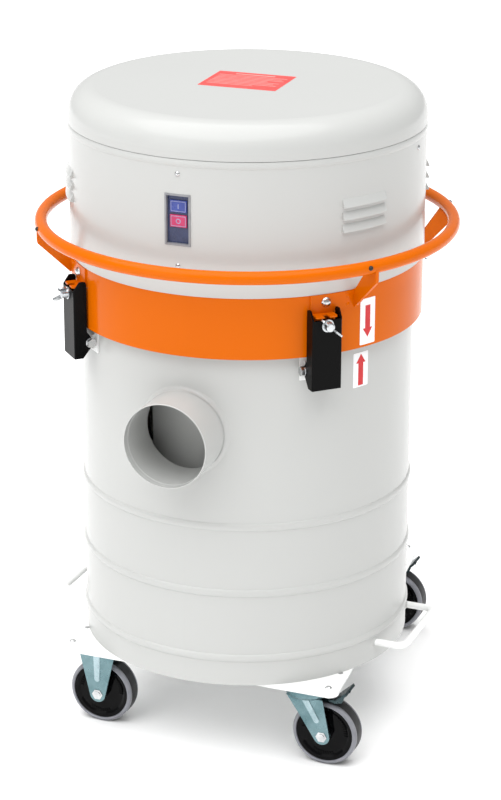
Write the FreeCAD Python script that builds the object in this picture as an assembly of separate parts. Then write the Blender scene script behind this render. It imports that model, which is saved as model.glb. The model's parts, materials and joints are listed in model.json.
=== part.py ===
"""Mobile drum dust collector: dust drum on four casters, lift-off blower head, four side clamps.

Millimetres, +Z up. The origin is on the floor under the drum's axis, the inlet and the switch
face -Y, and azimuths are counted from -Y towards +X.
"""
import FreeCAD
import Part

import math
import os

# Drum
SHEET = 1.5                      # sheet steel of the drum
DRUM_R = 245.0
DRUM_BOTTOM = 132.0
DRUM_TOP = 680.7
DRUM_BEADS = (175.0, 278.0, 381.0)
BEAD_PROUD = 2.8
BEAD_HALF = 6.0
RIM_CURL = 4.5
INLET_Z = 522.5
INLET_R = 62.5
INLET_NECK_R = 61.9              # where the spigot passes the drum wall
INLET_MOUTH = 312.0
HANDLE_ROD = 5.2                 # side handles near the drum's foot
HANDLE_HALF = 72.0
HANDLE_OUT = 280.0
HANDLE_Z = 159.0

# Base and casters
BASE_TOP = DRUM_BOTTOM
BASE_THICK = 5.0
BASE_FRONT = -213.0
BASE_REAR = 356.0
BASE_FRONT_HALF = 224.0
BASE_REAR_HALF = 165.0
WHEEL_R = 50.0
WHEEL_HALF = 16.0
HUB_R = 43.5
AXLE_R = 5.0
RUNNING = 0.05                   # radial clearance of every turning fit
FORK_IN = 18.5                   # half the gap between the fork's legs
FORK_SHEET = 2.5
TRAIL = 30.0                     # wheel centre behind the swivel axis
TOP_PLATE = (96.0, 72.0, 3.0)
PLATE_LOW = BASE_TOP - BASE_THICK - TOP_PLATE[2]
BOLT_PITCH = (80.0, 52.0)
BOLT_R = 4.0
BOLT_HEAD_R = 5.0
FIXED_CASTERS = {"front": (-169.0, -160.0), "rear": (-115.0, 318.0)}
SWIVEL_CASTERS = {"front": (164.0, -164.0), "rear": (108.0, 318.0)}
CROWN_LOW = PLATE_LOW - 16.0
CROWN_TOP = CROWN_LOW + 3.5
KINGPIN_R = 6.0
PEDAL_PIVOT = (20.0, 104.0)
PEDAL_PIN_R = 2.2

# Head
BAND_R = 258.2                   # orange head band that drops over the drum's rim
BAND_SHEET = 2.2
BAND_BOTTOM = 639.0
BAND_TOP = 728.5
HEAD_PLATE_TOP = 690.0
HOUSING_R = 259.2
HOUSING_SHEET = 1.6
HOUSING_IN = HOUSING_R - HOUSING_SHEET
SEAM = 921.7                     # joint between housing and cap
CAP_TOP = 971.0
CAP_CORNER = 39.0
RING_R = 301.2                   # handle ring, centre line
RING_TUBE = 9.4
RING_Z = 771.4
SCREW_PLACES = [(0.0, 900.8), (90.0, 900.8), (180.0, 900.8), (-90.0, 900.8), (0.0, 770.3), (180.0, 770.3),
                (46.2, 751.0), (-46.2, 751.0), (133.8, 751.0), (-133.8, 751.0)]
LOUVRE_AZ = (60.3, -60.3, 119.7, -119.7)
LOUVRE_TOPS = (860.5, 843.0, 825.5)
LOUVRE_HALF_ANGLE = 8.5
GLAND_Z = 814.0
GLAND_R = 9.5
SWITCH_HALF = 19.0
SWITCH_LOW = 799.3
SWITCH_HIGH = 872.3
SWITCH_RIM = 2.6
BUTTONS = {"on": (845.4, 862.9), "off": (824.5, 842.0)}
BUTTON_HALF = 12.5
BUTTON_FACE = HOUSING_R - 2.4
BODY_FACE = HOUSING_R - 4.5

# Side clamps and the brackets above them
CLAMP_AZ = 45.0
PIVOT_R = 255.0                  # clamp lever's hinge pin
PIVOT_Z = 618.3
PIN_R = 4.0
LEVER_HALF = 22.5
LEVER_FACE = 279.5
LEVER_BOTTOM = 595.0
LEVER_SHEET = 2.2
FACE_TOP = 697.0
EAR_TOP = 710.0
WING_Z = 689.5
STRUT_AZ = 56.8
STRAP = 2.5                      # thickness of the pressing on the band
BRACKET_LOW = 703.5
BRACKET_HIGH = 728.0
LIP_Z = 700.0
BRACKET_BOLT_AZ = 46.4
BRACKET_BOLT_Z = 717.0

# Fan, motor and filter
MOTOR_PLATE = (775.0, 779.0)
MOTOR_R = 85.0
MOTOR_TOP = 905.0
SHAFT_R = 12.0
BEARING_R = 20.0
FAN_R = 150.0
FILTER_R = 150.0
FILTER_LOW = 452.0

Z = FreeCAD.Vector(0, 0, 1)


# Small shape helpers

def vec(x, y, z):
    return FreeCAD.Vector(x, y, z)


def face_from(points, to_space):
    """Closed face from 2-D points; a nested pair (via, end) is an arc through via to end."""
    edges = []
    start = points[0]
    for item in list(points[1:]) + [points[0]]:
        if isinstance(item[0], tuple):
            via, end = item
            edges.append(Part.Arc(to_space(start), to_space(via), to_space(end)).toShape())
        else:
            end = item
            if end != start:
                edges.append(Part.LineSegment(to_space(start), to_space(end)).toShape())
        start = end
    return Part.Face(Part.Wire(edges))


def lathe(points, angle=360.0):
    """Solid of revolution about +Z from (radius, height) points."""
    face = face_from(points, lambda p: vec(0, -p[0], p[1]))
    return face.revolve(vec(0, 0, 0), Z, angle)


def prism_xz(points, y0, y1):
    face = face_from(points, lambda p: vec(p[0], y0, p[1]))
    return face.extrude(vec(0, y1 - y0, 0))


def prism_yz(points, x0, x1):
    """Extrusion along X of an outline given as (radius, height) on the -Y side."""
    face = face_from(points, lambda p: vec(x0, -p[0], p[1]))
    return face.extrude(vec(x1 - x0, 0, 0))


def tube(r_out, r_in, z0, z1):
    return lathe([(r_in, z0), (r_out, z0), (r_out, z1), (r_in, z1)])


def disc(r, z0, z1, x=0.0, y=0.0):
    return Part.makeCylinder(r, z1 - z0, vec(x, y, z0))


def block(x0, x1, y0, y1, z0, z1):
    return Part.makeBox(x1 - x0, y1 - y0, z1 - z0, vec(x0, y0, z0))


def rod(start, end, r):
    start, end = vec(*start), vec(*end)
    return Part.makeCylinder(r, (end - start).Length, start, end - start)


def hexagon(across, height, start, direction):
    """Hexagonal prism from its start point along a direction."""
    radius = across / math.sqrt(3)
    corners = [vec(radius * math.cos(math.radians(60 * i)), radius * math.sin(math.radians(60 * i)), 0)
               for i in range(7)]
    prism = Part.Face(Part.makePolygon(corners)).extrude(vec(0, 0, height))
    prism.Placement = FreeCAD.Placement(vec(*start), FreeCAD.Rotation(Z, vec(*direction)))
    return prism


def turned(shape, azimuth):
    copy = shape.copy()
    copy.rotate(vec(0, 0, 0), Z, azimuth)
    return copy


def moved(shape, x, y, z=0.0):
    copy = shape.copy()
    copy.translate(vec(x, y, z))
    return copy


def segment(shape, az0, az1, z0, z1, reach=400.0):
    """The part of a shape between two azimuths and two heights."""
    wedge = face_from([(0, z0), (reach, z0), (reach, z1), (0, z1)], lambda p: vec(0, -p[0], p[1]))
    return shape.common(turned(wedge.revolve(vec(0, 0, 0), Z, az1 - az0), az0))


def fuse(shapes):
    return shapes[0].multiFuse(shapes[1:]).removeSplitter()


def four_ways(shape):
    """A right-front shape and its mirror images to the left and to the rear."""
    left = shape.mirror(vec(0, 0, 0), vec(1, 0, 0))
    return {"front_right": shape, "front_left": left,
            "rear_right": shape.mirror(vec(0, 0, 0), vec(0, 1, 0)),
            "rear_left": left.mirror(vec(0, 0, 0), vec(0, 1, 0))}


def save(node, shapes):
    solids = [solid for shape in shapes for solid in shape.Solids]
    shape = solids[0] if len(solids) == 1 else Part.makeCompound(solids)
    shape.exportStep("parts/%s.step" % node)
    print("%-24s solids %d  volume %10.0f  valid %s" % (node, len(solids), shape.Volume, shape.isValid()))


# Dust drum

def drum_shell():
    """Rolled drum wall with three pressed beads, a curled rim and the inlet hole."""
    inner = DRUM_R - SHEET
    outside, inside = [], []
    for z in DRUM_BEADS:
        outside += [(DRUM_R, z - BEAD_HALF), ((DRUM_R + BEAD_PROUD, z), (DRUM_R, z + BEAD_HALF))]
        inside += [(inner, z - BEAD_HALF), ((inner + BEAD_PROUD, z), (inner, z + BEAD_HALF))]
    outside += [(DRUM_R, DRUM_TOP - 2 * RIM_CURL),
                ((DRUM_R + RIM_CURL, DRUM_TOP - RIM_CURL), (DRUM_R, DRUM_TOP))]
    upward = [(inner, DRUM_BOTTOM), (DRUM_R, DRUM_BOTTOM)] + outside + [(inner, DRUM_TOP)]
    wall = lathe(upward)
    groove = lathe([(inner - 5, DRUM_BOTTOM - 5), (inner, DRUM_BOTTOM - 5)] + inside
                   + [(inner, DRUM_TOP + 5), (inner - 5, DRUM_TOP + 5)])
    hole = rod((0, -200, INLET_Z), (0, -260, INLET_Z), INLET_NECK_R)
    return wall.cut(groove).cut(hole)


def drum_bottom():
    inner = DRUM_R - SHEET
    return lathe([(0, DRUM_BOTTOM), (inner, DRUM_BOTTOM), (inner, DRUM_BOTTOM + 14),
                  (inner - SHEET, DRUM_BOTTOM + 14), (inner - SHEET, DRUM_BOTTOM + 6),
                  ((inner - SHEET - 1.3, DRUM_BOTTOM + 2.8), (inner - SHEET - 4.5, DRUM_BOTTOM + SHEET)),
                  (0, DRUM_BOTTOM + SHEET)])


def inlet_spigot():
    """Hose spigot: a thin tube, necked at the drum wall, with a slightly wider mouth inside."""
    bore, mouth_bore, mouth_depth = INLET_R - 1.8, INLET_R - 1.2, 11.0
    inner_end, neck_end = 232.0, 252.0
    length, neck = INLET_MOUTH - inner_end, neck_end - inner_end
    spigot = lathe([(bore, 0), (INLET_NECK_R, 0), (INLET_NECK_R, neck), (INLET_R, neck),
                    (INLET_R, length - 0.6), (INLET_R - 0.6, length), (mouth_bore, length),
                    (mouth_bore, length - mouth_depth), (bore, length - mouth_depth - 1.5)])
    spigot.Placement = FreeCAD.Placement(vec(0, -inner_end, INLET_Z), FreeCAD.Rotation(Z, vec(0, -1, 0)))
    return spigot


def inlet_baffle():
    """Curved plate behind the inlet, joined to the wall at its right edge only."""
    radius, left_az, right_az = 206.0, -19.5, 25.0
    low, high = INLET_Z - 77, INLET_Z + 77
    curved = segment(tube(radius, radius - SHEET, low, high), left_az, right_az, low, high)
    web = turned(block(-SHEET, 0, -DRUM_R, -(radius - 0.5), low, high), right_az)
    return fuse([curved, web.common(disc(DRUM_R - SHEET, low, high))])


def base_plate():
    corner, low = 14.0, BASE_TOP - BASE_THICK
    outline = [(-BASE_FRONT_HALF, BASE_FRONT), (BASE_FRONT_HALF, BASE_FRONT),
               (BASE_REAR_HALF, BASE_REAR), (-BASE_REAR_HALF, BASE_REAR)]
    plate = face_from(outline, lambda p: vec(p[0], p[1], low)).extrude(vec(0, 0, BASE_THICK))
    uprights = [e for e in plate.Edges if abs(e.tangentAt(e.FirstParameter).z) > 0.99]
    plate = plate.makeFillet(corner, uprights)
    top_edges = [e for e in plate.Edges if all(abs(v.Point.z - BASE_TOP) < 1e-6 for v in e.Vertexes)]
    plate = plate.makeFillet(1.2, top_edges)
    return plate.cut(Part.makeCompound([disc(BOLT_R, low - 1, BASE_TOP + 1, x, y)
                                        for x, y in caster_bolt_places()]))


def side_handle():
    """Bent rod handle on the right-hand side of the drum, near its foot."""
    half, out, z, bend, inside = HANDLE_HALF, HANDLE_OUT, HANDLE_Z, 16.0, 225.0
    c = bend * (1 - math.sqrt(0.5))

    def leg(side):
        return (vec(inside, side * half, z), vec(out - bend, side * half, z),
                vec(out - c, side * (half - c), z), vec(out, side * (half - bend), z))

    front, rear = leg(-1), leg(1)
    path = [Part.LineSegment(front[0], front[1]).toShape(), Part.Arc(*front[1:]).toShape(),
            Part.LineSegment(front[3], rear[3]).toShape(), Part.Arc(*reversed(rear[1:])).toShape(),
            Part.LineSegment(rear[1], rear[0]).toShape()]
    section = Part.Wire(Part.makeCircle(HANDLE_ROD, front[0], vec(1, 0, 0)))
    bar = Part.Wire(path).makePipeShell([section], True, True)
    return bar.cut(disc(DRUM_R, z - 20, z + 20))


# Casters

def caster_centres():
    return list(FIXED_CASTERS.values()) + list(SWIVEL_CASTERS.values())


def caster_bolt_places():
    return [(cx + sx * BOLT_PITCH[0] / 2, cy + sy * BOLT_PITCH[1] / 2)
            for cx, cy in caster_centres() for sx in (-1, 1) for sy in (-1, 1)]


def caster_bolts():
    """Bolts through base and caster plates; those under the drum are flush studs."""
    bolts = []
    for x, y in caster_bolt_places():
        pieces = [disc(BOLT_R, PLATE_LOW - 7.5, BASE_TOP, x, y),
                  hexagon(13.0, 5.5, (x, y, PLATE_LOW - 5.5), (0, 0, 1))]
        if math.hypot(x, y) > DRUM_R + BOLT_HEAD_R:
            dome = Part.makeSphere(6.2, vec(x, y, BASE_TOP - 3.4))
            pieces.append(dome.common(disc(BOLT_HEAD_R, BASE_TOP, BASE_TOP + 5, x, y)))
        bolts.append(fuse(pieces))
    return bolts


def top_plate():
    """Caster's own bolt-on plate, centred on its local origin."""
    length, width, thick = TOP_PLATE
    top = PLATE_LOW + thick
    plate = block(-length / 2, length / 2, -width / 2, width / 2, PLATE_LOW, top)
    uprights = [e for e in plate.Edges if abs(e.tangentAt(e.FirstParameter).z) > 0.99]
    plate = plate.makeFillet(9.0, uprights)
    holes = [disc(BOLT_R, PLATE_LOW - 1, top + 1, sx * BOLT_PITCH[0] / 2, sy * BOLT_PITCH[1] / 2)
             for sx in (-1, 1) for sy in (-1, 1)]
    return plate.cut(Part.makeCompound(holes))


def tapered(x0, x1, z_top, cx, cz, r):
    """Outline of a leg: straight top from x0 to x1, tapering to a round end at (cx, cz)."""
    def touch(x, side):
        distance = math.hypot(x - cx, z_top - cz)
        angle = math.atan2(z_top - cz, x - cx) + side * math.acos(r / distance)
        return (cx + r * math.cos(angle), cz + r * math.sin(angle))
    left, right = touch(x0, 1), touch(x1, -1)
    return [(x0, z_top), left, ((cx, cz - r), right), (x1, z_top)]


def fork_legs(trail, z_top, half_top):
    """Two pressed legs with a raised middle rib and outward edge flanges."""
    outline = tapered(-half_top, half_top, z_top, trail, WHEEL_R, 11.5)
    rib = tapered(-10.5 + 0.1 * trail, 10.5 + 0.1 * trail, z_top - 2, 0.75 * trail, WHEEL_R + 22, 6.5)
    face, flange_share = FORK_IN + FORK_SHEET, 0.72
    legs = []
    for side in (-1, 1):
        legs.append(prism_xz(outline, side * FORK_IN, side * face))
        legs.append(prism_xz(rib, side * face, side * (face + 1.6)))
        for x_top, tangent in ((-half_top, outline[1]), (half_top, outline[2][1])):
            inward = FORK_SHEET if x_top < 0 else -FORK_SHEET
            x_low = x_top + (tangent[0] - x_top) * flange_share
            z_low = z_top + (tangent[1] - z_top) * flange_share
            strip = [(x_top, z_top), (x_top + inward, z_top), (x_low + inward, z_low), (x_low, z_low)]
            legs.append(prism_xz(strip, side * face, side * (face + 5.0)))
    return legs


def axle_hole(trail):
    return rod((trail, -40, WHEEL_R), (trail, 40, WHEEL_R), AXLE_R)


def fixed_fork():
    return fuse([top_plate()] + fork_legs(0.0, PLATE_LOW, 27.0)).cut(axle_hole(0.0))


def axle(trail):
    """Axle bolt with washers, hexagon head and nut."""
    face = FORK_IN + FORK_SHEET
    pieces = [rod((trail, -face - 8, WHEEL_R), (trail, face + 10, WHEEL_R), AXLE_R)]
    for side in (-1, 1):
        pieces.append(rod((trail, side * face, WHEEL_R), (trail, side * (face + 1.6), WHEEL_R), 9.5))
        pieces.append(hexagon(15.0, 5.5, (trail, side * (face + 1.6), WHEEL_R), (0, side, 0)))
    return fuse(pieces)


def swivel_plate():
    """Bolt-on plate with the fixed ball race and the kingpin."""
    race = lathe([(0, CROWN_LOW + 5), (26, CROWN_LOW + 5), (29.5, CROWN_LOW + 8), (29.5, PLATE_LOW),
                  (0, PLATE_LOW)])
    kingpin = lathe([(0, CROWN_LOW - 6.5), (7, CROWN_LOW - 6.5), (9, CROWN_LOW - 5), (9, CROWN_LOW - 1.5),
                     (KINGPIN_R, CROWN_LOW - 1.5), (KINGPIN_R, CROWN_LOW + 5.5), (0, CROWN_LOW + 5.5)])
    return fuse([top_plate(), race, kingpin])


def swivel_fork():
    crown_r, wall, bore = 35.0, 4.6, KINGPIN_R + RUNNING
    crown = lathe([(bore, CROWN_LOW), (crown_r - 2, CROWN_LOW), (crown_r, CROWN_LOW + 3),
                   (crown_r, CROWN_LOW + 11), (crown_r - 2.5, CROWN_LOW + 13),
                   (crown_r - wall, CROWN_LOW + 13), (crown_r - wall, CROWN_TOP), (bore, CROWN_TOP)])
    legs = fork_legs(TRAIL, CROWN_TOP - 1.0, 26.0)
    return fuse([crown] + legs).cut(axle_hole(TRAIL)).cut(pedal_pin(0.0))


def pedal_pin(extra):
    x, z = PEDAL_PIVOT
    reach = FORK_IN + FORK_SHEET + extra
    return rod((x, -reach, z), (x, reach, z), PEDAL_PIN_R)


def brake_pedal():
    """Foot pedal hinged between the fork's legs, with a pad above the tyre."""
    x, z = PEDAL_PIVOT
    half, tread_half = 14.0, 19.0
    eye = rod((x, -half, z), (x, half, z), 3.6)
    arm = prism_xz([(x, z - 2.0), (36, 102.2), (47, 103.0), (64.5, 118.5), (62.5, 122.0), (45, 106.4),
                    (x, z + 2.2)], -half, half)
    pad = prism_xz([(40, 103.5), (48.5, 104.5), (48.5, 100.4), (41, 101.2)], -12, 12)
    tread = prism_xz([(45.4, 106.4), (46.2, 102.9), (65.5, 119.4), (63.0, 122.6)], -tread_half, tread_half)
    gussets = [prism_xz([(48, 105.0), (63, 118.6), (58, 106.0)], side * (tread_half - 2), side * tread_half)
               for side in (-1, 1)]
    return fuse([eye, arm, pad, tread] + gussets).cut(rod((x, -20, z), (x, 20, z), PEDAL_PIN_R + RUNNING))


def wheel_shape(points):
    """Solid of revolution about the wheel's axle, from (radius, sideways) points."""
    shape = lathe(points)
    shape.rotate(vec(0, 0, 0), vec(1, 0, 0), 90)
    shape.translate(vec(0, 0, WHEEL_R))
    return shape


def wheel_hub():
    bore = AXLE_R + RUNNING
    half = [(bore, 17.6), (10.5, 17.6), (12.5, 13.0), (35.0, 11.6), (38.5, 13.6), (HUB_R, 14.2)]
    return wheel_shape([(r, -w) for r, w in half] + [(r, w) for r, w in reversed(half)])


def wheel_tyre():
    half = [(HUB_R, 14.2), (44.4, 15.6), (46.4, WHEEL_HALF), (49.3, 12.6)]
    crown = ((WHEEL_R, 0.0), half[-1])
    return wheel_shape([(r, -w) for r, w in half] + [crown] + [(r, w) for r, w in reversed(half[:-1])])


# Clamps: geometry at azimuth 0, turned to the clamp's azimuth afterwards

def pivot_rod(reach, r):
    return rod((-reach, -PIVOT_R, PIVOT_Z), (reach, -PIVOT_R, PIVOT_Z), r)


def clamp_pivot_bracket():
    low, high = PIVOT_Z - 17, PIVOT_Z + 17
    strap = segment(tube(DRUM_R + 2.0, DRUM_R, low, high), -6.1, 6.1, low, high)
    outline = [(DRUM_R - 1, PIVOT_Z - 12), (PIVOT_R, PIVOT_Z - 7),
               ((PIVOT_R + 7, PIVOT_Z), (PIVOT_R, PIVOT_Z + 7)), (DRUM_R - 1, PIVOT_Z + 12)]
    ears = [prism_yz(outline, side * 16.5, side * 19.3).cut(disc(DRUM_R, low, high)) for side in (-1, 1)]
    return fuse([strap] + ears).cut(pivot_rod(30, PIN_R))


def clamp_pivot_bolt():
    outer = LEVER_HALF + 0.4
    pieces = [rod((-outer - 7, -PIVOT_R, PIVOT_Z), (outer + 1, -PIVOT_R, PIVOT_Z), PIN_R)]
    for side, height in ((-1, 5.5), (1, 5.0)):
        washer_out = side * (outer + 1.4)
        pieces.append(rod((side * outer, -PIVOT_R, PIVOT_Z), (washer_out, -PIVOT_R, PIVOT_Z), 7.6))
        pieces.append(hexagon(12.5, height, (washer_out, -PIVOT_R, PIVOT_Z), (side, 0, 0)))
    return fuse(pieces)


def clamp_lever():
    """Folded channel: a broad outer face, two sides with hinge lugs and small ears above the face."""
    inner, lug, inside = BAND_R + 2.0, PIVOT_R - 2.4, LEVER_FACE - LEVER_SHEET
    outline = [(inner, EAR_TOP - 4), ((inner + 1.2, EAR_TOP - 1.2), (inner + 4, EAR_TOP)),
               (LEVER_FACE - 9, EAR_TOP), (LEVER_FACE, FACE_TOP), (LEVER_FACE, LEVER_BOTTOM),
               (266.5, LEVER_BOTTOM), (lug, PIVOT_Z - 6.1), ((PIVOT_R - 6.6, PIVOT_Z), (lug, PIVOT_Z + 6.1)),
               (inner, PIVOT_Z + 16)]
    sides = [prism_yz(outline, side * (LEVER_HALF - LEVER_SHEET), side * LEVER_HALF) for side in (-1, 1)]
    face = block(-LEVER_HALF, LEVER_HALF, -LEVER_FACE, -inside, LEVER_BOTTOM, FACE_TOP)
    nut = hexagon(13.0, 6.0, (0, -inside, WING_Z), (0, 1, 0))
    channel = fuse([face] + sides + [nut])
    folds = [e for e in channel.Edges if e.Length > 90 and abs(e.tangentAt(e.FirstParameter).z) > 0.99
             and abs(abs(e.CenterOfMass.x) - LEVER_HALF) < 0.01
             and abs(e.CenterOfMass.y + LEVER_FACE) < 0.01]
    channel = channel.makeFillet(1.8, folds)
    bolt_hole = rod((0, -250, WING_Z), (0, -290, WING_Z), PIN_R + RUNNING)
    return channel.cut(pivot_rod(30, PIN_R + RUNNING)).cut(bolt_hole)


def wing_bolt():
    """Wing bolt with its washer: boss, two raised wings and a shank through the lever's face."""
    seat = LEVER_FACE + 0.3
    washer = rod((0, -seat, WING_Z), (0, -seat - 1.6, WING_Z), 9.0)
    boss = lathe([(0, 1.6), (7.2, 1.6), (6.2, 10.5), (4.5, 11.5), (0, 11.5)])
    boss.Placement = FreeCAD.Placement(vec(0, -seat, WING_Z), FreeCAD.Rotation(Z, vec(0, -1, 0)))
    shank = rod((0, -seat - 1, WING_Z), (0, -BAND_R - 5.5, WING_Z), PIN_R)
    wings = []
    for side in (-1, 1):
        outline = [(side * 4, seat + 3.2), (side * 12, seat + 6.0),
                   ((side * 20.5, seat + 12.5), (side * 16, seat + 19.5)),
                   (side * 9.5, seat + 13.5), (side * 4, seat + 10.5)]
        blade = face_from(outline, lambda p: vec(p[0], -p[1], -1.3)).extrude(vec(0, 0, 2.6))
        blade.translate(vec(0, 0, WING_Z))
        wings.append(blade)
    bolt = fuse([washer, boss, shank] + wings)
    bolt.rotate(vec(0, 0, WING_Z), vec(0, -1, 0), -42)
    return bolt


def handle_torus():
    return Part.makeTorus(RING_R, RING_TUBE, vec(0, 0, RING_Z))


def radial_rod(azimuth, z, r0, r1, r):
    return turned(rod((0, -r0, z), (0, -r1, z), r), azimuth)


def strut_bracket():
    """One pressing on the band: clamp lip, foot plate and the strut that carries the handle ring."""
    seat = BAND_R + STRAP
    skin = tube(seat, BAND_R, LIP_Z, BRACKET_HIGH)
    foot = segment(skin, 41.2, STRUT_AZ, BRACKET_LOW, BRACKET_HIGH)
    lip_plate = segment(skin, 41.2, 48.8, LIP_Z, BRACKET_HIGH)
    lip = block(-16.5, 16.5, -LEVER_FACE + 0.7, -BAND_R - 0.6, LIP_Z, LIP_Z + 2.1)
    corners = [e for e in lip.Edges if abs(e.tangentAt(e.FirstParameter).z) > 0.99
               and abs(e.CenterOfMass.y + LEVER_FACE - 0.7) < 0.01]
    lip = lip.makeFillet(4.0, corners).cut(block(-4, 4, -290, -269, LIP_Z - 2, LIP_Z + 4))
    outer, under_ring = RING_R + 9, RING_Z - 2
    outline = [(BAND_R, BRACKET_LOW + 3), (BAND_R + 4, BRACKET_LOW), (outer - 1, RING_Z - 22.5),
               (outer, RING_Z - 18), (outer, under_ring), (RING_R - 9, under_ring),
               (BAND_R + 6, BRACKET_HIGH + 3.5), (BAND_R, BRACKET_HIGH)]
    strut = turned(prism_yz(outline, -2.3, 2.3), STRUT_AZ).cut(handle_torus())
    strut = strut.cut(disc(BAND_R, 690, 740)).cut(disc(HOUSING_R, BAND_TOP, 790))
    strut = max(strut.Solids, key=lambda solid: solid.Volume)
    welds = [turned(Part.makeSphere(3.6, vec(0, -BAND_R - 0.3, z)), STRUT_AZ - 2.7)
             for z in (BRACKET_LOW + 5.5, BRACKET_HIGH - 6.5)]
    pressing = fuse([foot, lip_plate, turned(lip, CLAMP_AZ), strut] + welds)
    pressing = pressing.cut(disc(BAND_R, 690, 740))
    return pressing.cut(radial_rod(BRACKET_BOLT_AZ, BRACKET_BOLT_Z, 240, 270, 3.0))


def bracket_bolt():
    seat = BAND_R + STRAP
    head = Part.makeSphere(8.2, vec(0, -seat + 3.2, BRACKET_BOLT_Z))
    head = head.common(rod((0, -seat, BRACKET_BOLT_Z), (0, -seat - 6, BRACKET_BOLT_Z), 7.2))
    shank = rod((0, -seat - 1, BRACKET_BOLT_Z), (0, -BAND_R + 6, BRACKET_BOLT_Z), 3.0)
    return turned(fuse([head, shank]), BRACKET_BOLT_AZ)


def bracket_bolt_holes():
    hole = radial_rod(BRACKET_BOLT_AZ, BRACKET_BOLT_Z, 240, 265, 3.0)
    return Part.makeCompound(list(four_ways(hole).values()))


def ring_plug():
    """Small plug on the handle ring above the strut."""
    lean = math.radians(12)
    centre = vec(0, -RING_R - RING_TUBE * math.cos(lean), RING_Z + RING_TUBE * math.sin(lean))
    plug = turned(Part.makeSphere(3.4, centre), STRUT_AZ - 2.2)
    return plug.cut(handle_torus())


# Head

def head_band():
    band = lathe([(BAND_R - BAND_SHEET, BAND_BOTTOM), (BAND_R, BAND_BOTTOM), (BAND_R, BAND_TOP),
                  (240, BAND_TOP), (240, BAND_TOP - 2), (BAND_R - BAND_SHEET, BAND_TOP - 2)])
    return band.cut(bracket_bolt_holes())


def head_plate():
    """Plate across the band that carries fan and filter, with the suction hole."""
    return tube(BAND_R - BAND_SHEET, 95.0, HEAD_PLATE_TOP - 3, HEAD_PLATE_TOP)


def head_gasket():
    return tube(251.5, 238.0, DRUM_TOP + 0.3, HEAD_PLATE_TOP - 3)


def louvre(azimuth, top):
    """One pressed hood, open below, and the slot behind it."""
    proud, end = 5.2, 0.35
    r, angle, low = HOUSING_R, LOUVRE_HALF_ANGLE, top - 12.0
    skin = [(HOUSING_IN, top - 1.5), (r, top), (r + proud, low + 1.5), (r + proud, low),
            (r + proud - 1.2, low), (HOUSING_IN, top - 4.5)]
    side = [(HOUSING_IN, top - 1.5), (r, top), (r + proud, low + 1.5), (r + proud, low), (HOUSING_IN, low)]
    hood = turned(lathe(skin, 2 * angle), -angle)
    ends = [turned(lathe(side, end), -angle), turned(lathe(side, end), angle - end)]
    opening = [(r - 3, low), (r + 0.2, low), (r + 0.2, top - 4.5), (r - 3, top - 4.5)]
    slot = turned(lathe(opening, 2 * (angle - end)), -angle + end)
    return turned(fuse([hood] + ends), azimuth), turned(slot, azimuth)


def blower_housing():
    """Rolled housing with a lower flange, a bead under the cap, a joggled rim and twelve louvres."""
    r, inner, joggle = HOUSING_R, HOUSING_IN, HOUSING_R - 2.4
    body = lathe([(240, BAND_TOP), (r, BAND_TOP), (r, SEAM - 11), ((r + 1.5, SEAM - 5.7), (r, SEAM - 0.4)),
                  (joggle, SEAM - 0.4), (joggle, SEAM + 11), (r - 4, SEAM + 11), (r - 4, SEAM - 2.2),
                  (inner, SEAM - 2.2), (inner, BAND_TOP + HOUSING_SHEET), (240, BAND_TOP + HOUSING_SHEET)])
    hoods, cuts = [], []
    for azimuth in LOUVRE_AZ:
        for top in LOUVRE_TOPS:
            hood, slot = louvre(azimuth, top)
            hoods.append(hood)
            cuts.append(slot)
    cuts.append(block(-SWITCH_HALF, SWITCH_HALF, -280, -240, SWITCH_LOW, SWITCH_HIGH))
    cuts.append(radial_rod(180, GLAND_Z, 240, 280, GLAND_R))
    cuts += [radial_rod(azimuth, z, 250, 270, 2.0) for azimuth, z in SCREW_PLACES]
    for cut in cuts:
        body = body.cut(cut)
    return fuse([body] + hoods)


def housing_screws():
    screws = []
    for azimuth, z in SCREW_PLACES:
        head = Part.makeSphere(4.2, vec(0, -HOUSING_R + 1.7, z)).common(
            rod((0, -HOUSING_R, z), (0, -HOUSING_R - 5, z), 3.7))
        screws.append(turned(fuse([head.cut(disc(HOUSING_R, z - 9, z + 9)),
                                   rod((0, -HOUSING_R - 1.5, z), (0, -HOUSING_IN, z), 2.0)]), azimuth))
    return screws


def top_cap():
    """Pressed dome lid over the motor."""
    r, low, wall = HOUSING_R + 0.6, SEAM + 0.4, HOUSING_SHEET
    rim = HOUSING_R - 2.4
    flat_r, shoulder = r - CAP_CORNER, CAP_TOP - CAP_CORNER
    inner = CAP_CORNER - wall
    out_mid, in_mid = math.sqrt(0.5) * CAP_CORNER, math.sqrt(0.5) * inner
    return lathe([(rim, low), (r, low), (r, shoulder),
                  ((flat_r + out_mid, shoulder + out_mid), (flat_r, CAP_TOP)),
                  (0, CAP_TOP), (0, CAP_TOP - wall), (flat_r, CAP_TOP - wall),
                  ((flat_r + in_mid, shoulder + in_mid), (flat_r + inner, shoulder)),
                  (flat_r + inner, SEAM + 12), (rim, SEAM + 12)])


def switch_bezel():
    half, rim = SWITCH_HALF, SWITCH_RIM
    frame = block(-half, half, -HOUSING_R - 0.7, -HOUSING_R + 14, SWITCH_LOW, SWITCH_HIGH)
    recess = block(-half + rim, half - rim, -280, -HOUSING_R + 11, SWITCH_LOW + rim, SWITCH_HIGH - rim)
    return frame.cut(recess)


def switch_body():
    half = SWITCH_HALF - SWITCH_RIM
    body = block(-half, half, -BODY_FACE, -HOUSING_R + 11, SWITCH_LOW + SWITCH_RIM, SWITCH_HIGH - SWITCH_RIM)
    gap = 0.3
    for low, high in BUTTONS.values():
        body = body.cut(block(-BUTTON_HALF - gap, BUTTON_HALF + gap, -BODY_FACE - 4, -BODY_FACE + 6.1,
                              low - gap, high + gap))
    return body


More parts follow.
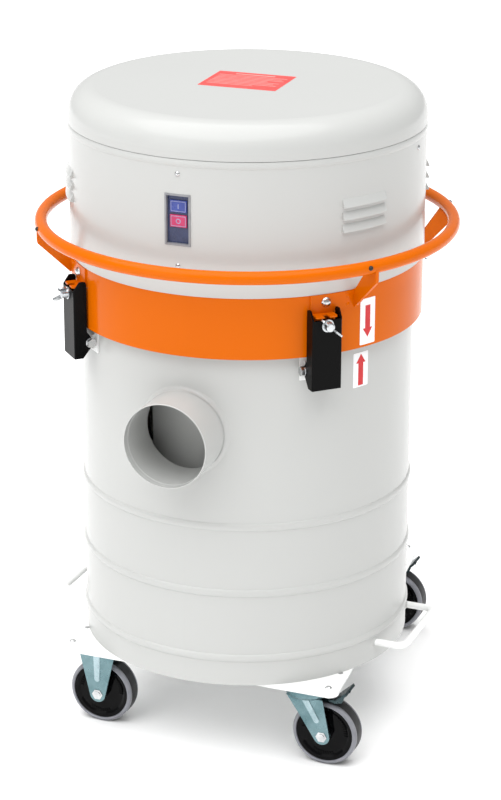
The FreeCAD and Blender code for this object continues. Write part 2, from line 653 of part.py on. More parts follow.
def button(low, high):
    cap = block(-BUTTON_HALF, BUTTON_HALF, -BUTTON_FACE, -BUTTON_FACE + 4.4, low, high)
    front = [e for e in cap.Edges if all(abs(v.Point.y + BUTTON_FACE) < 1e-6 for v in e.Vertexes)]
    return cap.makeFillet(1.0, front)


def cord_gland():
    """Empty cable gland at the back of the housing."""
    profile = [(5.0, -8), (GLAND_R, -8), (GLAND_R, 0), (13.5, 0), (13.5, 5.5), (12.0, 5.5), (12.0, 12),
               ((10.8, 16.6), (7.5, 19)), (5.0, 19)]
    body = lathe(profile)
    body.Placement = FreeCAD.Placement(vec(0, HOUSING_R, GLAND_Z), FreeCAD.Rotation(Z, vec(0, 1, 0)))
    hole = radial_rod(180, GLAND_Z, 200, 300, GLAND_R)
    wall = disc(HOUSING_R, GLAND_Z - 20, GLAND_Z + 20).cut(disc(HOUSING_IN - 1.2, GLAND_Z - 25, GLAND_Z + 25))
    lock_nut = hexagon(24.0, 4.0, (0, HOUSING_IN - 5.2, GLAND_Z), (0, 1, 0))
    grip = hexagon(26.0, 5.0, (0, HOUSING_R + 0.2, GLAND_Z), (0, 1, 0))
    return fuse([body.cut(wall.cut(hole)), lock_nut, grip]).cut(radial_rod(180, GLAND_Z, 200, 300, 5.0))


# Fan, motor and filter inside the head

def fan_casing():
    casing = tube(180, 178.4, HEAD_PLATE_TOP, MOTOR_PLATE[0])
    return casing.cut(segment(tube(190, 170, 707, 762), 150, 210, 707, 762))


def motor_plate():
    return tube(HOUSING_IN, SHAFT_R + 3, MOTOR_PLATE[0], MOTOR_PLATE[1])


def motor_casing():
    """Finned motor with bearing seats and the shaft's tunnel."""
    low, top = MOTOR_PLATE[1], MOTOR_TOP
    body = lathe([(SHAFT_R + 3, low), (MOTOR_R + 12, low), (MOTOR_R + 12, low + 7), (MOTOR_R, low + 7),
                  (MOTOR_R, top - 22), ((MOTOR_R - 6, top - 6), (MOTOR_R - 22, top)), (0, top), (0, top - 18),
                  (SHAFT_R + 3, top - 18)])
    seats = [tube(BEARING_R, SHAFT_R, z, z + 12) for z in (low, top - 30)]
    grooves = [tube(MOTOR_R + 1, MOTOR_R - 4, z, z + 4.5) for z in range(int(low) + 16, int(top) - 34, 9)]
    return body.cut(Part.makeCompound(seats)).cut(Part.makeCompound(grooves))


def motor_bearings():
    return [tube(BEARING_R, SHAFT_R + RUNNING, z, z + 12) for z in (MOTOR_PLATE[1], MOTOR_TOP - 30)]


def motor_shaft():
    return disc(SHAFT_R, 704, MOTOR_TOP - 19)


def impeller():
    """Backplate, hub, shroud and eight backward-leaning blades."""
    outer, eye = FAN_R, 92.0
    back = tube(outer, SHAFT_R, 757, 760)
    hub = tube(26, SHAFT_R, 718, 768)
    shroud = tube(outer, eye, 719, 722)
    blades = []
    for i in range(8):
        blade = block(-1.5, 1.5, -50, 50, 721, 758)
        blade.rotate(vec(0, 0, 0), Z, 38)
        blade.translate(vec(0, -106, 0))
        blades.append(turned(blade, 45.0 * i).common(tube(outer, 40, 700, 780)))
    return fuse([back, hub, shroud] + blades)


def impeller_nut():
    return hexagon(30.0, 10.0, (0, 0, 708.0), (0, 0, 1)).cut(disc(SHAFT_R, 700, 720))


def filter_cartridge():
    """Pleated sleeve hung under the head plate."""
    pleats, valley, bore = 36, 134.0, 111.0
    points = []
    for i in range(2 * pleats):
        radius = FILTER_R if i % 2 == 0 else valley
        angle = math.pi * i / pleats
        points.append(vec(radius * math.cos(angle), radius * math.sin(angle), FILTER_LOW))
    outline = Part.Face(Part.makePolygon(points + points[:1]))
    sleeve = outline.extrude(vec(0, 0, HEAD_PLATE_TOP - 3 - FILTER_LOW))
    return sleeve.cut(disc(bore, FILTER_LOW - 5, HEAD_PLATE_TOP))


def filter_cage():
    """Wire cage inside the cartridge with its end plate."""
    rim, rod_circle, top = FILTER_R + 4, 105.0, HEAD_PLATE_TOP - 3
    bottom = lathe([(0, FILTER_LOW - 6), (rim, FILTER_LOW - 6), (rim, FILTER_LOW + 4),
                    (rim - 2, FILTER_LOW + 4), (rim - 2, FILTER_LOW), (0, FILTER_LOW)])
    upright = rod((0, -rod_circle, FILTER_LOW), (0, -rod_circle, top), 3.0)
    rods = [turned(upright, azimuth) for azimuth in range(0, 360, 45)]
    hoops = [tube(rod_circle + 4, rod_circle - 4, z, z + 4) for z in (530, 610, top - 4)]
    return fuse([bottom] + rods + hoops)


def build():
    os.makedirs("parts", exist_ok=True)

    save("drum_shell", [drum_shell()])
    save("drum_bottom", [drum_bottom()])
    save("inlet_spigot", [inlet_spigot()])
    save("inlet_baffle", [inlet_baffle()])
    save("base_plate", [base_plate()])
    handle = side_handle()
    save("side_handles", [handle, handle.mirror(vec(0, 0, 0), vec(1, 0, 0))])

    save("caster_bolts", caster_bolts())
    save("fixed_axles", [moved(axle(0.0), *place) for place in FIXED_CASTERS.values()])
    save("swivel_plates", [moved(swivel_plate(), *place) for place in SWIVEL_CASTERS.values()])
    for end, place in FIXED_CASTERS.items():
        save("fixed_fork_" + end, [moved(fixed_fork(), *place)])
        save("wheel_hub_%s_left" % end, [moved(wheel_hub(), *place)])
        save("wheel_tyre_%s_left" % end, [moved(wheel_tyre(), *place)])
    for end, (x, y) in SWIVEL_CASTERS.items():
        save("swivel_fork_" + end, [moved(swivel_fork(), x, y)])
        save("swivel_axle_" + end, [moved(axle(TRAIL), x, y), moved(pedal_pin(1.2), x, y)])
        save("brake_pedal_" + end, [moved(brake_pedal(), x, y)])
        save("wheel_hub_%s_right" % end, [moved(wheel_hub(), x + TRAIL, y)])
        save("wheel_tyre_%s_right" % end, [moved(wheel_tyre(), x + TRAIL, y)])

    save("clamp_pivot_brackets", list(four_ways(turned(clamp_pivot_bracket(), CLAMP_AZ)).values()))
    save("clamp_pivot_bolts", list(four_ways(turned(clamp_pivot_bolt(), CLAMP_AZ)).values()))
    for corner, lever in four_ways(turned(clamp_lever(), CLAMP_AZ)).items():
        save("clamp_lever_" + corner, [lever])
    for corner, bolt in four_ways(turned(wing_bolt(), CLAMP_AZ)).items():
        save("wing_bolt_" + corner, [bolt])

    save("head_band", [head_band()])
    save("head_plate", [head_plate()])
    save("head_gasket", [head_gasket()])
    save("handle_ring", [handle_torus()])
    save("strut_brackets", list(four_ways(strut_bracket()).values()))
    save("bracket_bolts", list(four_ways(bracket_bolt()).values()))
    save("ring_plugs", list(four_ways(ring_plug()).values()))
    save("blower_housing", [blower_housing()])
    save("housing_screws", housing_screws())
    save("top_cap", [top_cap()])
    save("cord_gland", [cord_gland()])
    save("switch_bezel", [switch_bezel()])
    save("switch_body", [switch_body()])
    for name, (low, high) in BUTTONS.items():
        save(name + "_button", [button(low, high)])

    save("fan_casing", [fan_casing()])
    save("motor_plate", [motor_plate()])
    save("motor_casing", [motor_casing()])
    save("motor_bearings", motor_bearings())
    save("motor_shaft", [motor_shaft()])
    save("impeller", [impeller()])
    save("impeller_nut", [impeller_nut()])
    save("filter_cartridge", [filter_cartridge()])
    save("filter_cage", [filter_cage()])


build()
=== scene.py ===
"""Looks of the dust collector.

Finishes for every CAD node, the small pieces that only Blender adds, the studio and the camera.
"""

import json
import math

import bpy
from mathutils import Matrix, Vector


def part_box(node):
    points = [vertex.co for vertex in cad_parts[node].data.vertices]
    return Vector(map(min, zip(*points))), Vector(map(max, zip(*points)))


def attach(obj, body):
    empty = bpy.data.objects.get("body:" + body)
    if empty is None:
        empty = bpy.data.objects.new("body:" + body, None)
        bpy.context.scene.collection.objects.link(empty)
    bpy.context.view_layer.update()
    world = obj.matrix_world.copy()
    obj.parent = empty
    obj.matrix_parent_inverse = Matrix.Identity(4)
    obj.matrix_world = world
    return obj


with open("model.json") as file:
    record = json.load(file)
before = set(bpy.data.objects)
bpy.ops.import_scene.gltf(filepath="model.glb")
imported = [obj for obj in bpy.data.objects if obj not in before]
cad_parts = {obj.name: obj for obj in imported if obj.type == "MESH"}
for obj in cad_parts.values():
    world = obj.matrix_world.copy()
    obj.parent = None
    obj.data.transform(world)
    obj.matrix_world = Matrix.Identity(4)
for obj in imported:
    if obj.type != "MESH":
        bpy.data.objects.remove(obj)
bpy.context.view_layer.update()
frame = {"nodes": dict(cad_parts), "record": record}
nodes = frame["nodes"]

# Sizes that the added pieces follow, in metres, read from the frame
BAND_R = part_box("head_band")[1].x
BAND_OVER_DRUM = 0.0132
DRUM_R = BAND_R - BAND_OVER_DRUM
CAP_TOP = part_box("top_cap")[1].z
INLET_Z = sum(corner.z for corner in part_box("inlet_spigot")) / 2
INLET_R = (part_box("inlet_spigot")[1].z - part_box("inlet_spigot")[0].z) / 2
HANDLE_Z = sum(corner.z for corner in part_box("side_handles")) / 2
HANDLE_ROD = 0.0052
HANDLE_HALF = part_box("side_handles")[1].y - HANDLE_ROD
WHEELS = ("front_left", "front_right", "rear_left", "rear_right")

# Stickers and printed marks: thickness, half widths, and the arrow's reach and neck from the middle
FILM = 0.00012
STICKER_HALF, STICKER_CORNER = 0.0142, 0.0008
ARROW_REACH, ARROW_NECK = 0.0235, 0.0100
ARROW_HEAD_HALF, ARROW_SHAFT_HALF = 0.0090, 0.0048

# Closed section of the tyre's pale shoulder, as (radius, distance from the wheel's middle plane)
TYRE_SHOULDER = [(0.0434, 0.0143), (0.0443, 0.0160), (0.0464, 0.0164), (0.0496, 0.0128),
                 (0.0500, 0.0098), (0.0496, 0.0098), (0.0490, 0.0124), (0.0461, 0.0156)]

# Raised bars on the hub: where their arcs start and their pitch in degrees, and the size of one bar
BAR_ARCS, BARS_PER_ARC, BAR_PITCH = (0, 120, 240), 9, 6.5
BAR_INNER, BAR_OUTER, BAR_HALF = 0.0295, 0.0355, 0.0011
BAR_FOOT, BAR_TOP, BAR_TAPER = 0.0114, 0.0130, 0.7

# Pressed faces on the forks' legs; a leg is its left edge, right edge and top, from the axle
FIXED_LEG, SWIVEL_LEG = (-0.0300, 0.0300, 0.0725), (-0.0530, 0.0010, 0.0595)
FACE_OUT, FACE_THICKNESS, LEG_END_R = 0.0258, 0.0012, 0.0125
RIB_HALF, RIB_END_R, RIB_LOW, RIB_BELOW_TOP, RIB_LEAN, RIB_SINK = 0.0055, 0.0042, 0.026, 0.002, 0.30, 0.0001

WELD_SINK = 0.0002  # how far a weld's edges lie inside the rod and the drum
HOUSING_OVER_BAND, SCREW_HEAD_RISE = 0.001, 0.00205


# Materials

def linear(red, green, blue):
    """Scene colour of a screen colour given as 0-255 values."""
    def channel(value):
        value /= 255.0
        return value / 12.92 if value <= 0.04045 else ((value + 0.055) / 1.055) ** 2.4
    return (channel(red), channel(green), channel(blue), 1.0)


class Finish:
    """One procedural material, with its colour, roughness and relief added step by step."""

    def __init__(self, name, **sockets):
        self.material = bpy.data.materials.new(name)
        self.material.use_nodes = True
        self.tree = self.material.node_tree
        self.shader = self.tree.nodes["Principled BSDF"]
        self.place = self.add("ShaderNodeTexCoord").outputs["Object"]
        for label, value in sockets.items():
            self.shader.inputs[label.replace("_", " ")].default_value = value

    def add(self, kind, **settings):
        node = self.tree.nodes.new(kind)
        for label, value in settings.items():
            setattr(node, label, value)
        return node

    def link(self, source, target):
        self.tree.links.new(source, target)

    def noise(self, scale, detail=2.0, stretch=(1, 1, 1)):
        """Noise of a scale in cycles per metre, stretched along the axes."""
        mapping = self.add("ShaderNodeMapping")
        mapping.inputs["Scale"].default_value = stretch
        self.link(self.place, mapping.inputs["Vector"])
        noise = self.add("ShaderNodeTexNoise")
        noise.inputs["Scale"].default_value = scale
        noise.inputs["Detail"].default_value = detail
        self.link(mapping.outputs["Vector"], noise.inputs["Vector"])
        return noise.outputs["Fac"]

    def ramp(self, source, low, high, start, end):
        ramp = self.add("ShaderNodeValToRGB")
        first, last = ramp.color_ramp.elements
        first.position, last.position = start, end
        first.color, last.color = low, high
        self.link(source, ramp.inputs["Fac"])
        return ramp.outputs["Color"]

    def spread(self, source, low, high):
        spread = self.add("ShaderNodeMapRange", interpolation_type="SMOOTHSTEP")
        spread.inputs["From Min"].default_value = 0.3
        spread.inputs["From Max"].default_value = 0.7
        spread.inputs["To Min"].default_value = low
        spread.inputs["To Max"].default_value = high
        self.link(source, spread.inputs["Value"])
        return spread.outputs["Result"]

    def colours(self, low, high, scale, detail=3.0, stretch=(1, 1, 1), start=0.35, end=0.65):
        tint = self.ramp(self.noise(scale, detail, stretch), low, high, start, end)
        self.link(tint, self.shader.inputs["Base Color"])
        return self

    def roughness(self, low, high, scale, detail=2.0, stretch=(1, 1, 1)):
        value = self.spread(self.noise(scale, detail, stretch), low, high)
        self.link(value, self.shader.inputs["Roughness"])
        return self

    def relief(self, scale, strength, depth, detail=2.0, stretch=(1, 1, 1)):
        """Adds bump of a depth in metres."""
        bump = self.add("ShaderNodeBump")
        bump.inputs["Strength"].default_value = strength
        bump.inputs["Distance"].default_value = depth
        self.link(self.noise(scale, detail, stretch), bump.inputs["Height"])
        self.link(bump.outputs["Normal"], self.shader.inputs["Normal"])
        return self


def enamel(name, low, high, rough=(0.25, 0.27), coat=0.08, gloss=0.25):
    """Sprayed and baked enamel: slight mottle, orange peel and a clear gloss."""
    finish = Finish(name, Coat_Weight=coat, Coat_Roughness=0.12, Specular_IOR_Level=gloss)
    finish.colours(low, high, 4.0, 2.0, (1, 1, 1), 0.1, 0.9).roughness(rough[0], rough[1], 6.0)
    finish.relief(380.0, 0.02, 0.0002)
    return finish.material


def zinc(name, low, high, rough, grain=60.0):
    finish = Finish(name, Metallic=1.0)
    finish.colours(low, high, grain, 4.0).roughness(rough[0], rough[1], 140.0)
    finish.relief(500.0, 0.12, 0.0002)
    return finish.material


def plastic(name, low, high, rough, peel=700.0, gloss=0.4):
    finish = Finish(name, Specular_IOR_Level=gloss)
    finish.colours(low, high, 90.0).roughness(rough[0], rough[1], 60.0)
    finish.relief(peel, 0.10, 0.0002)
    return finish.material


def sheet_steel(name, low, high, rough):
    """Bare rolled steel with a fine drawn grain."""
    finish = Finish(name, Metallic=1.0)
    finish.colours(low, high, 14.0, 5.0).roughness(rough[0], rough[1], 300.0, 3.0, (1, 1, 0.08))
    finish.relief(600.0, 0.10, 0.0002, 3.0, (1, 1, 0.08))
    return finish.material


def rubber(name, low, high, rough):
    finish = Finish(name, Specular_IOR_Level=0.35)
    finish.colours(low, high, 45.0).roughness(rough[0], rough[1], 90.0)
    finish.relief(900.0, 0.18, 0.0003)
    return finish.material


def cloth(name, low, high):
    finish = Finish(name, Sheen_Weight=0.3)
    finish.colours(low, high, 120.0, 4.0).roughness(0.8, 0.95, 200.0)
    finish.relief(1200.0, 0.35, 0.0004)
    return finish.material


BODY_LOW, BODY_HIGH = linear(186, 187, 185), linear(188, 189, 187)
LOOKS = {
    "drum_enamel": enamel("drum_enamel", BODY_LOW, BODY_HIGH),
    "head_enamel": enamel("head_enamel", BODY_LOW, BODY_HIGH),
    "base_enamel": enamel("base_enamel", linear(238, 239, 238), linear(242, 243, 242)),
    "orange_enamel": enamel("orange_enamel", linear(208, 97, 0), linear(213, 101, 0), (0.16, 0.22), 0.0,
                            0.10),
    "bolt_zinc": zinc("bolt_zinc", linear(186, 188, 190), linear(216, 217, 217), (0.16, 0.26)),
    "wing_zinc": zinc("wing_zinc", linear(176, 180, 184), linear(208, 211, 213), (0.20, 0.32)),
    "caster_zinc": zinc("caster_zinc", linear(88, 116, 121), linear(118, 144, 149), (0.24, 0.36), 24.0),
    "hub_black": plastic("hub_black", linear(4, 4, 5), linear(7, 7, 8), (0.05, 0.10), 250.0, 0.10),
    "tyre_rubber": rubber("tyre_rubber", linear(26, 26, 28), linear(34, 34, 36), (0.42, 0.56)),
    "lever_black": enamel("lever_black", linear(6, 6, 6), linear(9, 9, 9), (0.24, 0.32), 0.0, 0.07),
    "trim_black": plastic("trim_black", linear(24, 24, 25), linear(34, 34, 35), (0.35, 0.5)),
    "gasket_rubber": rubber("gasket_rubber", linear(34, 34, 36), linear(46, 46, 48), (0.6, 0.8)),
    "bezel_grey": plastic("bezel_grey", linear(128, 129, 133), linear(140, 141, 145), (0.28, 0.4)),
    "switch_navy": plastic("switch_navy", linear(44, 52, 84), linear(54, 62, 96), (0.22, 0.34)),
    "button_blue": plastic("button_blue", linear(52, 66, 138), linear(62, 76, 150), (0.18, 0.28)),
    "button_red": plastic("button_red", linear(178, 44, 92), linear(194, 56, 104), (0.18, 0.28)),
    "plate_steel": sheet_steel("plate_steel", linear(150, 152, 154), linear(176, 178, 180), (0.32, 0.5)),
    "shaft_steel": zinc("shaft_steel", linear(150, 152, 156), linear(176, 178, 182), (0.18, 0.3)),
    "motor_iron": enamel("motor_iron", linear(66, 74, 82), linear(78, 86, 94), (0.4, 0.55), 0.1),
    "impeller_aluminium": zinc("impeller_aluminium", linear(186, 188, 190), linear(206, 208, 210),
                               (0.3, 0.45)),
    "filter_cloth": cloth("filter_cloth", linear(214, 210, 198), linear(230, 227, 216)),
}
# Lighter zinc for the forks' raised ribs: painted highlight
RIB_HIGHLIGHT_ZINC = zinc("rib_zinc_painted_highlight", linear(132, 156, 162), linear(168, 188, 194), (0.2, 0.3), 24.0)
# Brake pedals' zinc, darkened as painted shade for faces that lie in shade
PEDAL_SHADE_ZINC = zinc("pedal_zinc_painted_shade", linear(44, 56, 58), linear(66, 80, 83), (0.26, 0.36), 24.0)
TYRE_SIDE = rubber("tyre_side", linear(124, 125, 131), linear(138, 139, 146), (0.30, 0.42))
WELD = enamel("weld_enamel", BODY_LOW, BODY_HIGH, (0.3, 0.4), 0.3)
STICKER = plastic("sticker_white", linear(240, 241, 243), linear(246, 247, 248), (0.28, 0.36), 300.0)
ARROW = plastic("arrow_red", linear(196, 20, 28), linear(206, 28, 36), (0.28, 0.36), 300.0)
LABEL = plastic("label_red", linear(226, 62, 58), linear(232, 72, 68), (0.28, 0.36), 300.0)
LABEL_BAR = plastic("label_bar", linear(236, 150, 144), linear(240, 160, 154), (0.28, 0.36), 300.0)
OUTLINE = plastic("button_outline", linear(140, 142, 176), linear(150, 152, 186), (0.3, 0.4), 300.0)


def paint_nodes():
    """Gives each CAD node the finish of its material slot; the brake pedals get a darker zinc, painted shade
    for their shaded faces.
    """
    for part in frame["record"]["subparts"]:
        data = nodes[part["node"]].data
        data.materials.clear()
        pedal = part["node"].startswith("brake_pedal")
        data.materials.append(PEDAL_SHADE_ZINC if pedal else LOOKS[part["material_slot"]])


# Mesh helpers

def add_piece(name, vertices, faces, material, body, smooth=True):
    mesh = bpy.data.meshes.new(name)
    mesh.from_pydata([tuple(v) for v in vertices], [], faces)
    mesh.validate()
    mesh.polygons.foreach_set("use_smooth", [smooth] * len(mesh.polygons))
    mesh.materials.append(material)
    piece = bpy.data.objects.new(name, mesh)
    bpy.context.scene.collection.objects.link(piece)
    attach(piece, body)
    return piece


def loop_faces(rows, columns, close_rows=False, close_columns=False):
    """Quads over a grid of rows by columns of vertices."""
    faces = []
    for i in range(rows if close_rows else rows - 1):
        for j in range(columns if close_columns else columns - 1):
            here, there = (i + 1) % rows, (j + 1) % columns
            faces.append((i * columns + j, i * columns + there, here * columns + there, here * columns + j))
    return faces


def around(azimuth, radius, z):
    """Point at an azimuth in degrees, counted from -Y towards +X."""
    angle = math.radians(azimuth)
    return Vector((radius * math.sin(angle), -radius * math.cos(angle), z))


def wrapped_plate(name, radius, edges, thickness, material, body):
    """Thin plate on a round wall; edges lists (azimuth, low, high) from one side to the other."""
    vertices = []
    for azimuth, low, high in edges:
        for r, z in ((radius, low), (radius + thickness, low), (radius + thickness, high), (radius, high)):
            vertices.append(around(azimuth, r, z))
    faces = loop_faces(len(edges), 4, close_columns=True)
    last = 4 * (len(edges) - 1)
    faces += [(3, 2, 1, 0), (last, last + 1, last + 2, last + 3)]
    return add_piece(name, vertices, faces, material, body, smooth=False)


def sticker(name, radius, azimuth, low, high, pointing, body):
    """White sticker with rounded corners and a red arrow pointing up (1) or down (-1)."""
    half = math.degrees(STICKER_HALF / radius)
    turn = math.degrees(STICKER_CORNER / radius)
    edges = []
    for i in range(25):
        offset = -half + 2 * half * i / 24
        inset = max(0.0, (abs(offset) - half + turn) / turn)
        cut = STICKER_CORNER * (1 - math.sqrt(max(0.0, 1 - inset * inset)))
        edges.append((azimuth + offset, low + cut, high - cut))
    wrapped_plate(name, radius + 0.0001, edges, FILM, STICKER, body)

    middle = (low + high) / 2
    tip, tail = middle + pointing * ARROW_REACH, middle - pointing * ARROW_REACH
    neck = middle + pointing * ARROW_NECK
    head_half, shaft_half = math.degrees(ARROW_HEAD_HALF / radius), math.degrees(ARROW_SHAFT_HALF / radius)
    head = []
    for i in range(17):
        share = -1 + i / 8
        reach = neck + (tip - neck) * (1 - abs(share))
        head.append((azimuth + share * head_half, min(neck, reach), max(neck, reach) + 1e-6))
    shaft = [(azimuth - shaft_half + shaft_half * i / 3, min(neck, tail), max(neck, tail)) for i in range(7)]
    for part, edges in (("head", head), ("shaft", shaft)):
        wrapped_plate("%s_arrow_%s" % (name, part), radius + 0.0002, edges, FILM, ARROW, body)


def flat_plate(name, outline, thickness, place, material, body):
    """Prism over a flat outline, placed by a matrix that maps the outline's plane into the frame."""
    count = len(outline)
    vertices = [place @ Vector((x, y, h)) for h in (0.0, thickness) for x, y in outline]
    faces = [tuple(reversed(range(count))), tuple(range(count, 2 * count))]
    faces += [(i, (i + 1) % count, count + (i + 1) % count, count + i) for i in range(count)]
    return add_piece(name, vertices, faces, material, body, smooth=False)


def rounded(width, height, corner, steps=5, cx=0.0, cy=0.0):
    """Outline of a rectangle with rounded corners."""
    points = []
    for k, (sx, sy) in enumerate(((1, 1), (-1, 1), (-1, -1), (1, -1))):
        for i in range(steps + 1):
            angle = math.radians(90 * (k + i / steps))
            points.append((cx + sx * (width / 2 - corner) + corner * math.cos(angle),
                           cy + sy * (height / 2 - corner) + corner * math.sin(angle)))
    return points


def weld(name, offset, z, rod, size, turn, body, ripple=0.0, samples=96):
    """Weld fillet where a rod or tube along -Y meets the drum; turned about +Z afterwards."""
    steps = 6
    spin = Matrix.Rotation(math.radians(turn), 4, "Z")
    vertices = []
    for i in range(samples):
        angle = 2 * math.pi * i / samples
        wave = ripple * math.sin(angle * samples / 4)
        for k in range(steps + 1):
            share = math.pi / 2 * k / steps
            radius = rod - WELD_SINK + (size + wave) * (1 - math.cos(share))
            rise = (size + wave) * (1 - math.sin(share)) - WELD_SINK * k / steps
            x = offset + radius * math.cos(angle)
            height = z + radius * math.sin(angle)
            y = -math.sqrt(DRUM_R ** 2 - x * x) - rise
            vertices.append(spin @ Vector((x, y, height)))
    faces = loop_faces(samples, steps + 1, close_rows=True)
    return add_piece(name, vertices, faces, WELD, body)


def ring_about_y(name, profile, centre, side, material, body, samples=96):
    """Closed ring about an axle along Y from (radius, sideways) points; side is -1 or 1."""
    vertices = []
    for i in range(samples):
        angle = 2 * math.pi * i / samples
        for radius, sideways in profile:
            vertices.append(centre + Vector((radius * math.cos(angle), side * sideways,
                                             radius * math.sin(angle))))
    faces = loop_faces(samples, len(profile), close_rows=True, close_columns=True)
    return add_piece(name, vertices, faces, material, body)


# Added pieces

def wheel_details():
    """Pale tyre shoulder and a ring of raised bars on each face of each wheel."""
    for corner in WHEELS:
        low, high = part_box("wheel_tyre_" + corner)
        centre = (low + high) / 2
        body = "wheel_" + corner
        for side, label in ((-1, "outer"), (1, "inner")):
            ring_about_y("tyre_shoulder_%s_%s" % (corner, label), TYRE_SHOULDER, centre, side, TYRE_SIDE,
                         body)
            add_wheel_bars(corner, label, centre, side, body)


def add_wheel_bars(corner, label, centre, side, body):
    """Three arcs of short raised bars near the hub's rim, moulded with the hub."""
    vertices, faces = [], []
    bar_middle = (BAR_INNER + BAR_OUTER) / 2
    for start in BAR_ARCS:
        for i in range(BARS_PER_ARC):
            angle = math.radians(start + BAR_PITCH * i)
            outward = Vector((math.cos(angle), 0, math.sin(angle)))
            along = Vector((-math.sin(angle), 0, math.cos(angle)))
            first = len(vertices)
            for rise, slim in ((BAR_FOOT, 1.0), (BAR_TOP, BAR_TAPER)):
                for radial, across in ((BAR_INNER, -1), (BAR_OUTER, -1), (BAR_OUTER, 1), (BAR_INNER, 1)):
                    reach = bar_middle + (radial - bar_middle) * slim
                    vertices.append(centre + outward * reach + along * across * BAR_HALF * slim
                                    + Vector((0, side * rise, 0)))
            quads = [(4, 5, 6, 7), (0, 1, 5, 4), (1, 2, 6, 5), (2, 3, 7, 6), (3, 0, 4, 7)]
            if side > 0:
                quads = [tuple(reversed(quad)) for quad in quads]
            faces += [tuple(first + v for v in quad) for quad in quads]
    add_piece("hub_bars_%s_%s" % (corner, label), vertices, faces, LOOKS["hub_black"], body,
              smooth=False)


def fork_faces():
    """Pressed outer face of each caster fork's leg, with its middle rib in a lighter zinc as a painted
    highlight; it closes the leg's flanges.
    """
    for corner in WHEELS:
        low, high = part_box("wheel_tyre_" + corner)
        centre = (low + high) / 2
        swivels = corner.endswith("right")
        body = "swivel_" + corner.split("_")[0] if swivels else "tank"
        left, right, top = SWIVEL_LEG if swivels else FIXED_LEG
        middle = (left + right) / 2
        face = leg_outline(left, right, top, 0.0, LEG_END_R)
        rib = leg_outline(middle - RIB_HALF, middle + RIB_HALF, top - RIB_BELOW_TOP, RIB_LOW, RIB_END_R,
                          middle * RIB_LEAN)
        for side, label in ((-1, "outer"), (1, "inner")):
            out = FACE_OUT if side < 0 else -FACE_OUT - FACE_THICKNESS
            lift = (Matrix.Translation(centre) @ Matrix.Rotation(math.pi / 2, 4, "X")
                    @ Matrix.Translation((0, 0, out)))
            flat_plate("fork_face_%s_%s" % (corner, label), face, FACE_THICKNESS, lift,
                       LOOKS["caster_zinc"], body)
            rib_out = FACE_THICKNESS - RIB_SINK if side < 0 else 0.0
            # Rib in the lighter zinc, a painted highlight
            flat_plate("fork_rib_%s_%s" % (corner, label), rib, -side * FACE_THICKNESS,
                       lift @ Matrix.Translation((0, 0, rib_out)), RIB_HIGHLIGHT_ZINC, body)


def leg_outline(left, right, top, low, radius, shift=0.0):
    """Tapered leg from a straight top down to a round end of a radius, centred at (shift, low)."""
    def touch(x, side):
        distance = math.hypot(x - shift, top - low)
        return math.atan2(top - low, x - shift) + side * math.acos(radius / distance)
    start, end = touch(left, 1), touch(right, -1) + 2 * math.pi
    arc = [start + (end - start) * i / 16 for i in range(17)]
    end_points = [(shift + radius * math.cos(a), low + radius * math.sin(a)) for a in arc]
    return [(left, top)] + end_points + [(right, top)]


def stickers():
    """Pair of arrows on band and drum that show how the head has to line up."""
    sticker("sticker_band", BAND_R, 62.5, 0.6425, 0.7100, -1, "head")
    sticker("sticker_drum", DRUM_R, 62.7, 0.5745, 0.6260, 1, "tank")


def cap_label():
    """Red label on the cap with plain bars."""
    place = (Matrix.Translation((-0.005, 0.0110, CAP_TOP + 0.00005))
             @ Matrix.Rotation(math.radians(1.9), 4, "Z"))
    flat_plate("cap_label", rounded(0.118, 0.095, 0.0015), 0.00015, place, LABEL, "head")
    rows = [(0.036, 0.0045, 0.060)] + [(0.026 - 0.0078 * i, 0.0022, width) for i, width in
                                       enumerate((0.104, 0.098, 0.104, 0.082, 0.102, 0.096, 0.103, 0.070))]
    lift = place @ Matrix.Translation((0, 0, FILM))
    for i, (y, height, width) in enumerate(rows):
        shift = 0.0 if i == 0 else (width - 0.104) / 2
        flat_plate("cap_label_bar_%d" % i, rounded(width, height, 0.0006, 3, shift, y), 0.00010, lift,
                   LABEL_BAR, "head")


def button_marks():
    """Pale outline and a plain on or off sign on each push button."""
    for name, colour_slot in (("on_button", "button_blue"), ("off_button", "button_red")):
        low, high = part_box(name)
        middle = (low + high) / 2
        place = (Matrix.Translation((middle.x, low.y + 0.00002, middle.z))
                 @ Matrix.Rotation(math.pi / 2, 4, "X"))
        width, height, line = high.x - low.x - 0.0030, high.z - low.z - 0.0030, 0.0007
        outer, inner = rounded(width, height, 0.0012), rounded(width - 2 * line, height - 2 * line, 0.0006)
        frame_piece(name + "_outline", outer, inner, place, name)
        if name == "on_button":
            flat_plate("on_sign", rounded(0.0012, 0.0066, 0.0004, 3), FILM, place, OUTLINE, name)
        else:
            circle = [[(r * math.cos(math.pi * i / 24), r * math.sin(math.pi * i / 24)) for i in range(48)]
                      for r in (0.0036, 0.0025)]
            frame_piece("off_sign", circle[0], circle[1], place, name)


def frame_piece(name, outer, inner, place, body):
    """Flat closed band between two outlines with the same number of points."""
    rings = [(outer, 0.0), (outer, FILM), (inner, FILM), (inner, 0.0)]
    vertices = [place @ Vector((x, y, h)) for outline, h in rings for x, y in outline]
    faces = loop_faces(4, len(outer), close_rows=True, close_columns=True)
    return add_piece(name, vertices, faces, OUTLINE, body, smooth=False)


def welds():
    weld("spigot_weld", 0.0, INLET_Z, INLET_R, 0.0065, 0, "tank", 0.00025, 192)
    for side, turn in (("right", 90), ("left", -90)):
        for end, offset in (("front", -HANDLE_HALF), ("rear", HANDLE_HALF)):
            weld("handle_weld_%s_%s" % (side, end), offset, HANDLE_Z, HANDLE_ROD, 0.0042, turn, "tank",
                 0.0003, 48)


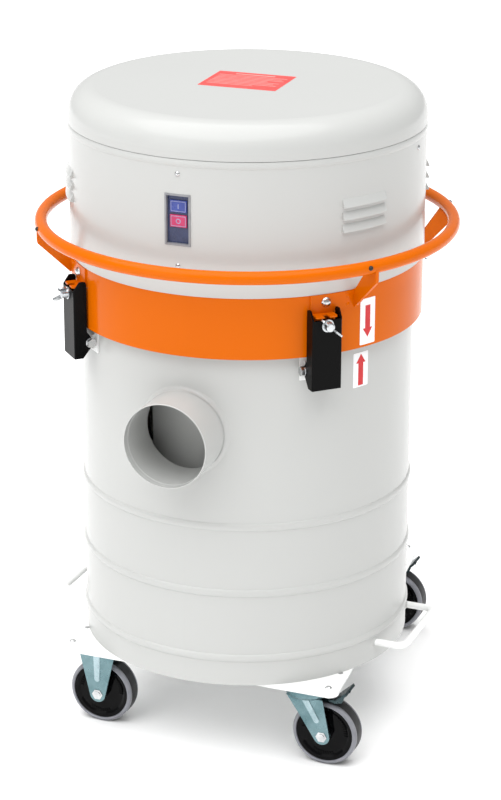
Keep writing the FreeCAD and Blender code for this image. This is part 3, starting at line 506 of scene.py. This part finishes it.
def screw_recess_shades():
    """Flat black crosses on the heads of the housing's screws, painted shade standing in for their cross
    recesses.
    """
    places = [(0.0, 0.9008), (90.0, 0.9008), (180.0, 0.9008), (-90.0, 0.9008), (0.0, 0.7703),
              (180.0, 0.7703), (46.2, 0.7510), (-46.2, 0.7510), (133.8, 0.7510), (-133.8, 0.7510)]
    arm, slim = 0.0018, 0.00045
    outline = [(arm, -slim), (arm, slim), (slim, slim), (slim, arm), (-slim, arm), (-slim, slim),
               (-arm, slim), (-arm, -slim), (-slim, -slim), (-slim, -arm), (slim, -arm), (slim, -slim)]
    wall = BAND_R + HOUSING_OVER_BAND
    for i, (azimuth, z) in enumerate(places):
        lean = Matrix.Rotation(math.radians(azimuth), 4, "Z")
        place = (lean @ Matrix.Translation((0, -wall - SCREW_HEAD_RISE, z))
                 @ Matrix.Rotation(math.pi / 2, 4, "X"))
        # Black cross on the head: painted shade of the cross recess
        flat_plate("screw_cross_shade_%d" % i, outline, 0.0002, place, LOOKS["trim_black"], "head")


# Studio and camera

def area_light(name, location, target, size, power):
    light = bpy.data.lights.new(name, "AREA")
    light.shape = "RECTANGLE"
    light.size, light.size_y = size
    light.energy = power
    lamp = bpy.data.objects.new(name, light)
    lamp.location = location
    lamp.rotation_euler = (Vector(target) - Vector(location)).to_track_quat("-Z", "Y").to_euler()
    bpy.context.scene.collection.objects.link(lamp)


def add_sun(name, towards, strength, spread):
    """Very soft light from one side of the sky; towards points at it, spread is its width in degrees."""
    light = bpy.data.lights.new(name, "SUN")
    light.energy = strength
    light.angle = math.radians(spread)
    lamp = bpy.data.objects.new(name, light)
    lamp.rotation_euler = Vector(towards).to_track_quat("Z", "Y").to_euler()
    bpy.context.scene.collection.objects.link(lamp)


def studio():
    world = bpy.data.worlds.new("studio")
    bpy.context.scene.world = world
    world.use_nodes = True
    background = world.node_tree.nodes["Background"]
    background.inputs["Color"].default_value = (1.0, 1.0, 1.0, 1.0)
    background.inputs["Strength"].default_value = 0.50
    add_sun("overhead", (-0.08, -0.22, 1.0), 4.0, 80)
    area_light("key", (-1.5, -3.4, 1.5), (0, 0, 0.4), (1.8, 1.8), 12)
    bpy.context.scene.view_settings.view_transform = "Standard"

    floor_finish = Finish("floor_white", Specular_IOR_Level=0.2)
    floor_finish.colours(linear(249, 249, 249), linear(251, 251, 251), 3.0).roughness(0.75, 0.85, 8.0)
    bpy.ops.mesh.primitive_circle_add(vertices=96, radius=16.0, fill_type="NGON")
    floor = bpy.context.object
    floor.name = "studio_floor"
    floor.data.materials.append(floor_finish.material)


def camera():
    """Eye-height view from the front right, slightly down, on the drum's axis."""
    azimuth, distance, height = math.radians(21.592), 3.6155, 1.8127
    pitch, yaw, roll = math.radians(20.155), math.radians(0.084), math.radians(0.160)
    data = bpy.data.cameras.new("camera")
    data.sensor_fit = "VERTICAL"
    data.sensor_height = 36.0
    data.lens = 115.47
    data.clip_end = 100.0
    view = bpy.data.objects.new("camera", data)
    turn = (Matrix.Rotation(azimuth - yaw, 4, "Z") @ Matrix.Rotation(math.pi / 2 - pitch, 4, "X")
            @ Matrix.Rotation(roll, 4, "Z"))
    place = (distance * math.sin(azimuth), -distance * math.cos(azimuth), height)
    view.matrix_world = Matrix.Translation(place) @ turn
    bpy.context.scene.collection.objects.link(view)
    bpy.context.scene.camera = view


paint_nodes()
wheel_details()
fork_faces()
stickers()
cap_label()
button_marks()
welds()
screw_recess_shades()
studio()
camera()
